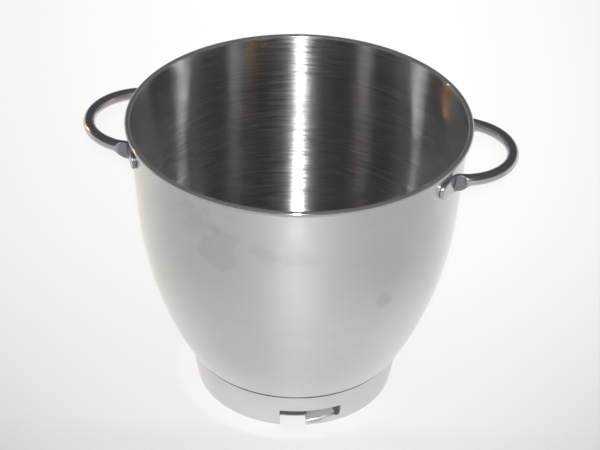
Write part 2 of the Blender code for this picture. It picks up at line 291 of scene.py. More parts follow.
class Board:
    """Adds and joins the nodes of one shader tree."""

    def __init__(self, tree: bpy.types.NodeTree) -> None:
        """Keeps the tree.

        Args:
            tree: The tree to build in.
        """
        self.tree = tree

    def add(self, kind: str, **settings: object) -> bpy.types.Node:
        """Adds a node.

        Args:
            kind: The node's type.
            settings: Its properties.

        Returns:
            The new node.
        """
        node = self.tree.nodes.new(kind)
        for name, value in settings.items():
            setattr(node, name, value)
        return node

    def feed(self, socket: Socket, value: Feed) -> None:
        """Gives a socket a value or a link.

        Args:
            socket: The input socket.
            value: A number, a colour, a vector or another node's output.
        """
        if isinstance(value, Socket):
            self.tree.links.new(value, socket)
        else:
            socket.default_value = value

    def fill(self, node: bpy.types.Node, feeds: dict[str, Feed]) -> bpy.types.Node:
        """Feeds a node's inputs.

        Args:
            node: The node.
            feeds: What each input is given, by its name.

        Returns:
            The same node.
        """
        for name, value in feeds.items():
            self.feed(node.inputs[name], value)
        return node

    def group(self, tree: bpy.types.NodeTree, **feeds: Feed) -> bpy.types.Node:
        """Adds a shared group as a node, and feeds its inputs."""
        return self.fill(self.add("ShaderNodeGroup", node_tree=tree), feeds)

    def split(self, place: Socket) -> tuple[Socket, Socket, Socket]:
        """Splits a vector into its X, Y and Z."""
        node = self.fill(self.add("ShaderNodeSeparateXYZ"), {"Vector": place})
        return node.outputs["X"], node.outputs["Y"], node.outputs["Z"]

    def math(self, operation: str, *values: Feed, clamp: bool = False) -> Socket:
        """Adds a Math node.

        Args:
            operation: What it does.
            values: Its inputs.
            clamp: Whether the result is kept in 0..1.

        Returns:
            The node's output.
        """
        node = self.add("ShaderNodeMath", operation=operation, use_clamp=clamp)
        for socket, value in zip(node.inputs, values):
            self.feed(socket, value)
        return node.outputs[0]

    def vector(self, operation: str, *values: Feed) -> Socket:
        """Adds a Vector Math node.

        Args:
            operation: What it does.
            values: Its inputs.

        Returns:
            The node's output: the number for a length, otherwise the vector.
        """
        node = self.add("ShaderNodeVectorMath", operation=operation)
        inputs = [node.inputs[0], node.inputs["Scale"]] if operation == "SCALE" else node.inputs
        for socket, value in zip(inputs, values):
            self.feed(socket, value)
        return node.outputs["Value"] if operation in ("LENGTH", "DOT_PRODUCT") else node.outputs["Vector"]

    def noise(self, place: Feed, scale: Feed, detail: float, roughness: float = 0.5) -> Socket:
        """Adds a noise texture.

        Args:
            place: The coordinates.
            scale: The noise's scale.
            detail: Its detail.
            roughness: Its roughness.

        Returns:
            The noise, about 0.5.
        """
        feeds = {"Vector": place, "Scale": scale, "Detail": detail, "Roughness": roughness}
        return self.fill(self.add("ShaderNodeTexNoise"), feeds).outputs[0]

    def remap(self, value: Feed, low: Feed, high: Feed, to_low: Feed, to_high: Feed) -> Socket:
        """Adds a smooth Map Range.

        Args:
            value: The input.
            low: Start of its range.
            high: End of its range.
            to_low: Result at the start.
            to_high: Result at the end.

        Returns:
            The mapped value.
        """
        node = self.add("ShaderNodeMapRange", interpolation_type="SMOOTHSTEP")
        feeds = {"Value": value, "From Min": low, "From Max": high, "To Min": to_low, "To Max": to_high}
        return self.fill(node, feeds).outputs["Result"]

    def blend(self, share: Feed, first: Feed, second: Feed, mode: str = "MIX") -> Socket:
        """Mixes two colours.

        Args:
            share: How much of the second one.
            first: First colour.
            second: Second colour.
            mode: Blend type.

        Returns:
            The mixed colour.
        """
        node = self.add("ShaderNodeMix", data_type="RGBA", blend_type=mode)
        self.feed(node.inputs[0], share)
        self.feed(node.inputs[6], first)
        self.feed(node.inputs[7], second)
        return node.outputs[2]


class GroupKit:
    """The shader node groups that several finishes share."""

    BAND_SHARE = 0.12  # broad bands for each fine line
    BAND_SPREAD = 1.5
    NOISE_DETAIL = 2.0
    GROOVE_ROUGHNESS = 0.6
    RAG_SCALE = 70.0
    FILM_DETAIL = 3.0
    FILM_ROUGHNESS = 0.55
    FILM_CLEAR = 0.35
    FILM_FULL = 0.70

    def __init__(self) -> None:
        """Builds each group once."""
        self.grain = self._turned_grain()
        self.groove = self._groove_normal()
        self.patch = self._soft_patch()
        self.film = self._handling_film()

    @staticmethod
    def _new(
        name: str, inputs: Iterable[tuple[str, str, Feed]], outputs: Iterable[tuple[str, str]]
    ) -> tuple[bpy.types.NodeTree, Board, bpy.types.Node, bpy.types.Node]:
        """Starts a group.

        Args:
            name: The group's name.
            inputs: Name, socket type and default of each input.
            outputs: Name and socket type of each output.

        Returns:
            The group, its board, its input node and its output node.
        """
        group = bpy.data.node_groups.new(name, "ShaderNodeTree")
        for label, kind, default in inputs:
            socket = group.interface.new_socket(label, in_out="INPUT", socket_type=kind)
            if default is not None:
                socket.default_value = default
        for label, kind in outputs:
            group.interface.new_socket(label, in_out="OUTPUT", socket_type=kind)
        board = Board(group)
        return group, board, board.add("NodeGroupInput"), board.add("NodeGroupOutput")

    @staticmethod
    def _round_axis(board: Board, place: Socket) -> tuple[Socket, Socket, Socket]:
        """Coordinates of a turned piece.

        Args:
            board: The group's board.
            place: The point on the piece.

        Returns:
            The vector from the axis, its direction, and a length that grows along the wall and the bottom.
        """
        flat = board.vector("MULTIPLY", place, (1.0, 1.0, 0.0))
        _, _, height = board.split(place)
        along = board.math("ADD", height, board.vector("LENGTH", flat))
        return flat, board.vector("NORMALIZE", flat), along

    @staticmethod
    def _lines(
        board: Board, around: Socket, along: Socket, count: Feed, spread: Feed, roughness: float = 0.5
    ) -> Socket:
        """Noise drawn out into lines round the axis.

        Args:
            board: The group's board.
            around: Direction from the axis.
            along: Length along the wall.
            count: Lines to a metre of wall.
            spread: How often a line changes on its way round.
            roughness: The noise's roughness.

        Returns:
            The lines, about 0.5.
        """
        raised = board.fill(board.add("ShaderNodeCombineXYZ"), {"Z": board.math("MULTIPLY", along, count)})
        turned = board.vector("SCALE", around, spread)
        place = board.vector("ADD", turned, raised.outputs[0])
        return board.noise(place, 1.0, GroupKit.NOISE_DETAIL, roughness)

    def _turned_grain(self) -> bpy.types.NodeTree:
        """Fine lines that run round the axis, as a turning or brushing machine leaves them.

        Returns:
            The group.
        """
        group, board, given, result = self._new(
            "turned_grain",
            (
                ("Place", "NodeSocketVector", None),
                ("Lines", "NodeSocketFloat", 1800.0),
                ("Spread", "NodeSocketFloat", 5.0),
            ),
            (("Line", "NodeSocketFloat"), ("Band", "NodeSocketFloat")),
        )
        _, around, along = self._round_axis(board, given.outputs["Place"])
        fine = self._lines(board, around, along, given.outputs["Lines"], given.outputs["Spread"])
        few = board.math("MULTIPLY", given.outputs["Lines"], self.BAND_SHARE)
        board.feed(result.inputs["Line"], fine)
        board.feed(result.inputs["Band"], self._lines(board, around, along, few, self.BAND_SPREAD))
        return group

    def _groove_normal(self) -> bpy.types.NodeTree:
        """Tips the surface's normal up and down the wall by fine grooves that run round the axis.

        Returns:
            The group.
        """
        group, board, given, result = self._new(
            "groove_normal",
            (
                ("Place", "NodeSocketVector", None),
                ("Normal", "NodeSocketVector", None),
                ("Lines", "NodeSocketFloat", 2500.0),
                ("Spread", "NodeSocketFloat", 6.0),
                ("Tip", "NodeSocketFloat", 0.5),
            ),
            (("Normal", "NodeSocketVector"),),
        )
        normal = given.outputs["Normal"]
        flat, around, along = self._round_axis(board, given.outputs["Place"])
        count, spread = given.outputs["Lines"], given.outputs["Spread"]
        lines = self._lines(board, around, along, count, spread, self.GROOVE_ROUGHNESS)
        groove = board.math("MULTIPLY", board.math("SUBTRACT", lines, NOISE_MEAN), given.outputs["Tip"])
        sideways = board.vector("CROSS_PRODUCT", (0.0, 0.0, 1.0), flat)
        down_wall = board.vector("NORMALIZE", board.vector("CROSS_PRODUCT", normal, sideways))
        tipped = board.vector("ADD", normal, board.vector("SCALE", down_wall, groove))
        board.feed(result.inputs["Normal"], board.vector("NORMALIZE", tipped))
        return group

    def _soft_patch(self) -> bpy.types.NodeTree:
        """A soft oval round a point, with a ragged edge.

        Returns:
            The group.
        """
        group, board, given, result = self._new(
            "soft_patch",
            (
                ("Place", "NodeSocketVector", None),
                ("Centre", "NodeSocketVector", (0.0, 0.0, 0.0)),
                ("Reach", "NodeSocketVector", (0.01, 0.01, 0.01)),
                ("Edge", "NodeSocketFloat", 0.5),
                ("Ragged", "NodeSocketFloat", 0.3),
            ),
            (("Mask", "NodeSocketFloat"),),
        )
        away = board.vector("SUBTRACT", given.outputs["Place"], given.outputs["Centre"])
        distance = board.vector("LENGTH", board.vector("DIVIDE", away, given.outputs["Reach"]))
        rag = board.noise(given.outputs["Place"], self.RAG_SCALE, self.NOISE_DETAIL)
        rag = board.math("SUBTRACT", rag, NOISE_MEAN)
        distance = board.math("ADD", distance, board.math("MULTIPLY", rag, given.outputs["Ragged"]))
        inner = board.math("SUBTRACT", 1.0, given.outputs["Edge"])
        board.feed(result.inputs["Mask"], board.remap(distance, inner, 1.0, 1.0, 0.0))
        return group

    def _handling_film(self) -> bpy.types.NodeTree:
        """Cloudy film left by handling and wiping.

        Returns:
            The group.
        """
        group, board, given, result = self._new(
            "handling_film",
            (("Place", "NodeSocketVector", None), ("Scale", "NodeSocketFloat", 14.0)),
            (("Film", "NodeSocketFloat"),),
        )
        place, scale = given.outputs["Place"], given.outputs["Scale"]
        cloud = board.noise(place, scale, self.FILM_DETAIL, self.FILM_ROUGHNESS)
        board.feed(result.inputs["Film"], board.remap(cloud, self.FILM_CLEAR, self.FILM_FULL, 0.0, 1.0))
        return group


@dataclass(frozen=True)
class Patch:
    """A mark in a piece's colour, used for smudges and stains and for painted shade and painted highlights:
    where it is, how far it reaches, and what tint it gives.
    """

    centre: Triple
    reach: Triple
    tint: Triple
    strength: float
    edge: float = 0.6
    ragged: float = 0.35


@dataclass(frozen=True)
class Stripe:
    """A line round the bowl at one height, such as the painted shade and dirt in a seam."""

    level: float
    reach: float
    tint: Triple
    edge: float = 0.3


@dataclass(frozen=True)
class SteelFinish:
    """One finish of the stainless steel."""

    name: str
    colour: Triple
    roughness: float
    anisotropy: float = 0.0
    lines: float = 1800.0
    line_tone: float = 0.0
    line_roughness: float = 0.25
    band_tone: float = 0.0
    groove_lines: float = 2500.0
    groove_tip: float = 0.0
    clear_gloss: float = 0.0
    clear_roughness: float = 0.3
    clear_index: float = 1.5
    metal: float = 1.0
    film_tone: float = 0.0
    film_roughness: float = 0.0
    patches: tuple[Patch, ...] = ()
    stripes: tuple[Stripe, ...] = ()

    def make(self, kit: GroupKit) -> bpy.types.Material:
        """Builds the material.

        Args:
            kit: The shared node groups.

        Returns:
            The material.
        """
        material = bpy.data.materials.new(self.name)
        material.use_nodes = True
        board = Board(material.node_tree)
        shader = material.node_tree.nodes["Principled BSDF"]
        place = board.add("ShaderNodeTexCoord").outputs["Object"]
        _, _, height = board.split(place)
        grain = board.group(kit.grain, Place=place, Lines=self.lines)
        film = board.group(kit.film, Place=place).outputs["Film"]
        line = board.math("SUBTRACT", grain.outputs["Line"], NOISE_MEAN)
        band = board.math("SUBTRACT", grain.outputs["Band"], NOISE_MEAN)
        tone = board.math("MULTIPLY_ADD", line, self.line_tone, 1.0)
        tone = board.math("MULTIPLY_ADD", band, self.band_tone, tone)
        tone = board.math("MULTIPLY_ADD", film, -self.film_tone, tone)
        colour = board.vector("SCALE", self.colour, tone)
        # Patches multiply the colour: smudges and stains, and on some finishes painted shade and painted
        # highlights.
        for patch in self.patches:
            mask = board.group(
                kit.patch,
                Place=place,
                Centre=patch.centre,
                Reach=patch.reach,
                Edge=patch.edge,
                Ragged=patch.ragged,
            )
            share = board.math("MULTIPLY", mask.outputs["Mask"], patch.strength)
            colour = board.blend(share, colour, (*patch.tint, 1.0), "MULTIPLY")
        # Stripes multiply painted shade and dirt into the colour along the seam.
        for stripe in self.stripes:
            away = board.math("ABSOLUTE", board.math("SUBTRACT", height, stripe.level))
            share = board.remap(away, stripe.reach * (1.0 - stripe.edge), stripe.reach, 1.0, 0.0)
            colour = board.blend(share, colour, (*stripe.tint, 1.0), "MULTIPLY")
        rough = board.math("MULTIPLY_ADD", line, self.line_roughness * self.line_tone, self.roughness)
        rough = board.math("MULTIPLY_ADD", film, self.film_roughness, rough)
        board.fill(shader, {"Metallic": self.metal, "Base Color": colour, "Roughness": rough})

        if self.groove_tip > 0.0:
            normal = board.add("ShaderNodeNewGeometry").outputs["Normal"]
            groove = board.group(
                kit.groove, Place=place, Normal=normal, Lines=self.groove_lines, Tip=self.groove_tip
            )
            board.feed(shader.inputs["Normal"], groove.outputs["Normal"])
        if self.clear_gloss > 0.0:
            coat = {"Weight": self.clear_gloss, "Roughness": self.clear_roughness, "IOR": self.clear_index}
            board.fill(shader, {f"Coat {name}": value for name, value in coat.items()})
        if self.anisotropy > 0.0:
            # The grooves run round the axis, so a quarter turn draws the gloss out along the wall's slope.
            tangent = board.add("ShaderNodeTangent", direction_type="RADIAL", axis="Z").outputs[0]
            quarter = {"Anisotropic": self.anisotropy, "Anisotropic Rotation": 0.25, "Tangent": tangent}
            board.fill(shader, quarter)
        return material


class Finish(Enum):
    """The finishes of this bowl."""

    INNER_BRUSHED = SteelFinish(
        name="inner_brushed_steel",
        colour=(0.755, 0.755, 0.759),
        roughness=0.20,
        anisotropy=1.0,
        lines=1150.0,
        line_tone=0.95,
        band_tone=0.08,
        groove_tip=0.6,
        film_tone=0.04,
    )
    OUTER_SATIN = SteelFinish(
        name="outer_satin_steel",
        colour=(0.678, 0.68, 0.679),
        roughness=0.32,
        anisotropy=0.77,
        clear_gloss=1.0,
        lines=2600.0,
        line_tone=0.09,
        band_tone=0.05,
        film_tone=0.04,
        film_roughness=0.03,
        # Soft painted shade low on the front, yellow tints on the flanks, painted reflections that brighten
        # both flanks and a narrow painted highlight under the rim at the front, then the smudges and a
        # stain.
        patches=(
            # Soft painted shade low on the front.
            Patch((0.000, -0.090, 0.060), (0.085, 0.075, 0.095), (0.87, 0.87, 0.87), 1.0, 0.9),
            Patch((-0.105, -0.030, 0.130), (0.085, 0.095, 0.140), (1.0, 1.0, 0.94), 1.0, 0.6),
            Patch((0.105, -0.030, 0.120), (0.080, 0.090, 0.120), (1.0, 1.0, 0.965), 1.0, 0.6),
            # Painted reflections that brighten both flanks.
            Patch((-0.112, -0.020, 0.120), (0.060, 0.060, 0.130), (1.24, 1.28, 1.24), 1.0, 0.7, 0.1),
            Patch((0.112, 0.005, 0.130), (0.060, 0.054, 0.120), (1.22, 1.22, 1.23), 1.0, 0.7, 0.1),
            # Narrow painted highlight under the rim at the front.
            Patch((0.0166, -0.1150, 0.204), (0.0100, 0.03, 0.020), (1.12, 1.12, 1.12), 1.0, 0.9, 0.1),
            # Smudges, then a stain.
            Patch((-0.0520, -0.1060, 0.196), (0.0160, 0.03, 0.020), (0.85, 0.85, 0.84), 0.6, 0.5, 1.8),
            Patch((-0.0370, -0.1112, 0.177), (0.0160, 0.03, 0.021), (0.86, 0.865, 0.86), 0.6, 0.3, 1.8),
            Patch((-0.0060, -0.1165, 0.182), (0.0140, 0.03, 0.011), (0.84, 0.84, 0.85), 0.6, 0.7, 1.4),
            Patch((0.0200, -0.1150, 0.179), (0.0160, 0.03, 0.010), (0.87, 0.87, 0.88), 0.6, 0.8, 1.4),
            Patch((0.1021, -0.0560, 0.172), (0.0100, 0.02, 0.016), (0.92, 0.92, 0.92), 0.6, 0.6),
            Patch((0.0736, -0.0859, 0.132), (0.0070, 0.02, 0.0105), (0.84, 0.86, 0.80), 0.8, 0.7),
        ),
        # Painted shade and dirt in the seam above the foot ring.
        stripes=(Stripe(30.6 * MM, 1.9 * MM, (0.15, 0.15, 0.15)),),
    )
    RIM_ROLLED = SteelFinish(
        name="rim_rolled_steel",
        colour=(0.47, 0.47, 0.478),
        roughness=0.08,
        metal=0.88,
        film_roughness=0.03,
        film_tone=0.03,
    )
    RING_SATIN = SteelFinish(
        name="ring_satin_steel",
        colour=(0.71, 0.71, 0.702),
        roughness=0.32,
        anisotropy=0.6,
        lines=2600.0,
        line_tone=0.05,
        film_tone=0.05,
        film_roughness=0.04,
        patches=(
            # Painted shade on the fold of one ledge beside a mouth, dimming its glint.
            Patch((0.0235, -0.0680, 0.0055), (0.0110, 0.0060, 0.0045), (0.55, 0.55, 0.55), 0.9, 0.5, 0.1),
        ),
        # Painted shade and dirt along the ring's upper edge, in the seam under the bowl.
        stripes=(Stripe(31.4 * MM, 2.0 * MM, (0.10, 0.10, 0.10)),),
    )
    LEDGE_CUT = SteelFinish(
        name="ledge_cut_steel", colour=(0.74, 0.74, 0.72), roughness=0.42, metal=0.6, film_tone=0.1
    )
    HANDLE_POLISHED = SteelFinish(
        name="handle_polished_steel",
        colour=(0.60, 0.60, 0.62),
        roughness=0.17,
        metal=0.97,
        film_roughness=0.04,
        film_tone=0.04,
        # Painted shade at the four necks, where the rod is flattened, and on the left handle's front pad,
        # darkening their reflections.
        patches=tuple(
            Patch((0.1165 * x, 0.0395 * y, 0.2035), (0.0075, 0.0065, 0.0120), (0.42, 0.42, 0.44), 0.85, 0.5)
            for x in (-1.0, 1.0)
            for y in (-1.0, 1.0)
        )
        + (Patch((-0.1065, -0.0545, 0.2010), (0.0110, 0.0100, 0.0140), (0.45, 0.45, 0.47), 0.9, 0.5),),
    )

    def make(self, kit: GroupKit) -> bpy.types.Material:
        """Builds this finish's material."""
        return self.value.make(kit)


# The object's pieces


@dataclass
class Wall:
    """The drawn bowl's outer face, from the rim to the step above the foot ring."""

    height: float = 219.97 * MM
    rim_radius: float = 122.47 * MM
    sheet: float = 0.8 * MM
    bead_radius: float = 1.97 * MM
    curl_turn: float = math.radians(285.0)
    taper: float = math.radians(3.6)
    taper_length: float = 64.6 * MM
    belly_radius: float = 290.0 * MM
    base_height: float = 17.0 * MM
    base_corner: float = 9.0 * MM
    ledge_height: float = 31.0 * MM
    ledge_outer: float = 1.2 * MM
    ledge_inner: float = 0.5 * MM

    def __post_init__(self) -> None:
        """Works out where the curl, the taper and the belly meet."""
        self.curl_radius = self.bead_radius - self.sheet
        self.curl_r = self.rim_radius - self.bead_radius
        self.curl_z = self.height - self.bead_radius
        self.top_r = self.curl_r - self.curl_radius * math.cos(self.taper)
        self.top_z = self.curl_z + self.curl_radius * math.sin(self.taper)
        self.belly_z = self.curl_z - self.taper_length
        self.belly_r = self.top_r - (self.top_z - self.belly_z) * math.tan(self.taper)

    def slope(self, z: float) -> float:
        """Angle of the outer face from the vertical at a height."""
        below = max(0.0, self.belly_z - z)
        return math.asin(math.sin(self.taper) + below / self.belly_radius)

    def radius(self, z: float) -> float:
        """Radius of the outer face: a straight taper at the top, and a belly below it.

        Args:
            z: A height above the step.

        Returns:
            The radius.
        """
        if z >= self.belly_z:
            return self.top_r - (self.top_z - z) * math.tan(self.taper)
        return self.belly_r - self.belly_radius * (math.cos(self.taper) - math.cos(self.slope(z)))


@dataclass
class FootRing:
    """The pressed foot ring: a tapering strip with three windows, each over a ledge folded inwards."""

    wall: Wall
    sheet: float = 1.5 * MM
    foot_radius: float = 73.1 * MM
    setback: float = 0.75 * MM
    edge_round: float = 1.2 * MM
    slots: int = 3
    slot_angle: float = math.radians(-82.0)
    mouth: float = math.radians(7.5)
    slot_end: float = math.radians(27.5)
    slot_top: float = 15.5 * MM
    corner: float = 1.5 * MM
    ramp_start: float = 5.2 * MM
    ramp_end: float = 7.8 * MM
    ramp_angle: float = math.radians(25.0)
    fold_radius: float = 2.2 * MM
    fold_depth: float = 10.0 * MM
    lead_in: float = 3.0 * MM
    seat_gap: float = 0.3 * MM
    step: float = math.radians(1.5)
    edge_break: float = 0.22 * MM
    fold_steps: int = 6
    round_steps: int = 5
    bevel_steps: int = 2
    round_share: float = 0.98
    tolerance: float = 0.01 * MM
    ledge_margin: float = 0.5 * MM
    sharp_edge: float = math.radians(50.0)
    smooth_degrees: float = 38.0
    corner_degrees: tuple[float, ...] = (0.0, 22.5, 45.0, 67.5, 90.0)

    def __post_init__(self) -> None:
        """Works out the strip's taper from the wall that it meets."""
        self.pitch = math.tau / self.slots
        self.top_z = self.wall.ledge_height - self.seat_gap
        self.top_r = self.wall.radius(self.wall.ledge_height) - self.setback
        self.taper = math.atan((self.top_r - self.foot_radius) / self.top_z)

    def radius(self, z: float) -> float:
        """Radius of the outer face at a height."""
        return self.foot_radius + z * math.tan(self.taper)

    def point(self, angle: float, depth: float, z: float, rise: float = 0.0) -> Vector:
        """A point a depth inside the outer face at height z, and then a rise above that height."""
        radius = self.radius(z) - depth
        return Vector((radius * math.cos(angle), radius * math.sin(angle), z + rise))

    def offset(self, point: Vector) -> float:
        """Angle of a point from the middle of the nearest mouth."""
        angle = math.atan2(point.y, point.x) - self.slot_angle
        return (angle + self.pitch / 2) % self.pitch - self.pitch / 2

    def columns(self) -> list[Point]:
        """The strip's columns in order round the axis.

        Returns:
            For each, its angle from +X and its offset from the middle of its own mouth.
        """
        corner = self.corner / self.radius(self.slot_top)
        bends = [corner * (1.0 - math.cos(math.radians(turn))) for turn in self.corner_degrees]
        offsets = [-self.mouth + bend for bend in bends]
        offsets += self._spread(-self.mouth + corner, self.mouth)[1:]
        offsets += self._spread(self.mouth, self.ramp_angle)[1:]
        offsets += [self.slot_end - bend for bend in reversed(bends)]
        offsets += self._spread(self.slot_end, self.pitch - self.mouth)[1:-1]
        mouths = [self.slot_angle + slot * self.pitch for slot in range(self.slots)]
        return [(mouth + offset, offset) for mouth in mouths for offset in offsets]

    def _spread(self, start: float, end: float) -> list[float]:
        """Evenly spaced angles from start to end."""
        count = max(1, round((end - start) / self.step))
        return [start + (end - start) * i / count for i in range(count + 1)]

    def window_top(self, offset: float) -> float:
        """Upper edge of a slot, with its two corners rounded.

        Args:
            offset: Angle from the middle of the mouth.

        Returns:
            The edge's height.
        """
        side = min(offset + self.mouth, self.slot_end - offset) * self.radius(self.slot_top)
        if side < -self.tolerance or side >= self.corner:
            return self.slot_top
        rise = math.sqrt(max(0.0, self.corner**2 - (self.corner - side) ** 2))
        return self.slot_top - self.corner + rise

    def tongue_top(self, offset: float) -> float:
        """Where the bend of the folded ledge starts."""
        share = min(max((offset - self.mouth) / (self.ramp_angle - self.mouth), 0.0), 1.0)
        return self.ramp_start + (self.ramp_end - self.ramp_start) * share - self.fold_radius

    def fold(
        self, columns: Sequence[Point], turn: float, inward: float = 0.0, lead: float = 0.0
    ) -> list[Vector]:
        """Each column's place on the folded ledge.

        Args:
            columns: The strip's columns.
            turn: How far round the bend.
            inward: How far past the bend.
            lead: How far the corner beside the mouth is moved along the ledge.

        Returns:
            The places.
        """
        places = []
        for angle, offset in columns:
            start = self.tongue_top(offset)
            depth = self.fold_radius * (1.0 - math.cos(turn)) + inward
            if math.isclose(offset, self.mouth):
                angle += lead / (self.radius(start) - depth)
            places.append(self.point(angle, depth, start, self.fold_radius * math.sin(turn)))
        return places

    def build(self, kit: GroupKit) -> bpy.types.Object:
        """Models and dresses the ring.

        Args:
            kit: The shared node groups.

        Returns:
            The finished piece.
        """
        piece = Workpiece("pressed_foot_ring")
        columns = self.columns()
        piece.start_ring([self.point(angle, 0.0, 0.0) for angle, _ in columns])
        for height in (
            self.tongue_top,
            self.window_top,
            lambda offset: (self.slot_top + self.top_z) / 2,
            lambda offset: self.top_z - self.edge_round,
            lambda offset: self.top_z,
        ):
            piece.extrude_ring([self.point(angle, 0.0, height(offset)) for angle, offset in columns])
        piece.delete_faces(self._in_window)

        piece.select_edges(self._on_tongue)
        for i in range(1, self.fold_steps + 1):
            piece.extrude_ring(self.fold(columns, math.pi / 2 * i / self.fold_steps))
        flat = self.fold_depth - self.fold_radius
        piece.extrude_ring(self.fold(columns, math.pi / 2, flat - self.lead_in))
        piece.extrude_ring(self.fold(columns, math.pi / 2, flat, self.lead_in))
        piece.face_outwards()
        piece.leave()

        piece.apply("SOLIDIFY", thickness=self.sheet, offset=-1.0, use_even_offset=True)
        self._flatten_ends(piece)
        piece.apply(
            "BEVEL",
            width=self.edge_break,
            segments=self.bevel_steps,
            limit_method="ANGLE",
            angle_limit=self.sharp_edge,
        )
        piece.smooth(self.smooth_degrees)
        piece.dress([Finish.RING_SATIN.make(kit), Finish.LEDGE_CUT.make(kit)], self._finish_at)
        return piece.object

    def _finish_at(self, centre: Vector, normal: Vector) -> int:
        """Which finish a face gets: 0 on the strip, 1 on the folded ledges."""
        depth = self.radius(centre.z) - centre.xy.length
        return 1 if depth > self.sheet + self.ledge_margin and centre.z < self.slot_top else 0

    def _in_window(self, face: bmesh.types.BMFace) -> bool:
        """Says which part of the strip is cut out.

        Args:
            face: A face of the strip.

        Returns:
            Whether it lies in a slot.
        """
        centre = face.calc_center_median()
        offset = self.offset(centre)
        above = self.mouth < offset < self.slot_end and centre.z > self.tongue_top(offset)
        return centre.z < self.slot_top and (abs(offset) < self.mouth or above)

    def _on_tongue(self, edge: bmesh.types.BMEdge) -> bool:
        """Says where the ledges are folded from.

        Args:
            edge: An edge of the strip.

        Returns:
            Whether it runs along the ramp.
        """
        middle = (edge.verts[0].co + edge.verts[1].co) / 2
        offset = self.offset(middle)
        away = [abs(vert.co.z - self.tongue_top(self.offset(vert.co))) for vert in edge.verts]
        return max(away) < self.tolerance and self.mouth < offset < self.ramp_angle

    def _flatten_ends(self, piece: Workpiece) -> None:
        """Makes the floor edge and the upper edge level, and rounds the upper one outside.

        Args:
            piece: The ring.
        """
        rise = self.sheet * math.sin(self.taper) + 5.0 * self.tolerance
        for vert in piece.mesh.vertices:
            if abs(vert.co.z) < rise:
                vert.co.z = 0.0
            elif abs(vert.co.z - self.top_z) < rise:
                vert.co.z = self.top_z
        bpy.ops.object.mode_set(mode="EDIT")
        piece.select_edges(self._on_upper_edge)
        width = self.edge_round * self.round_share
        bpy.ops.mesh.bevel(offset=width, segments=self.round_steps, affect="EDGES")
        bpy.ops.object.mode_set(mode="OBJECT")

    def _on_upper_edge(self, edge: bmesh.types.BMEdge) -> bool:
        """Says which edges are rounded.

        Args:
            edge: An edge of the finished strip.

        Returns:
            Whether it runs round the outside of the strip's upper end.
        """
        outside = self.top_r - self.sheet / 2
        ends = [vert.co for vert in edge.verts]
        return all(abs(end.z - self.top_z) < self.tolerance and end.xy.length > outside for end in ends)


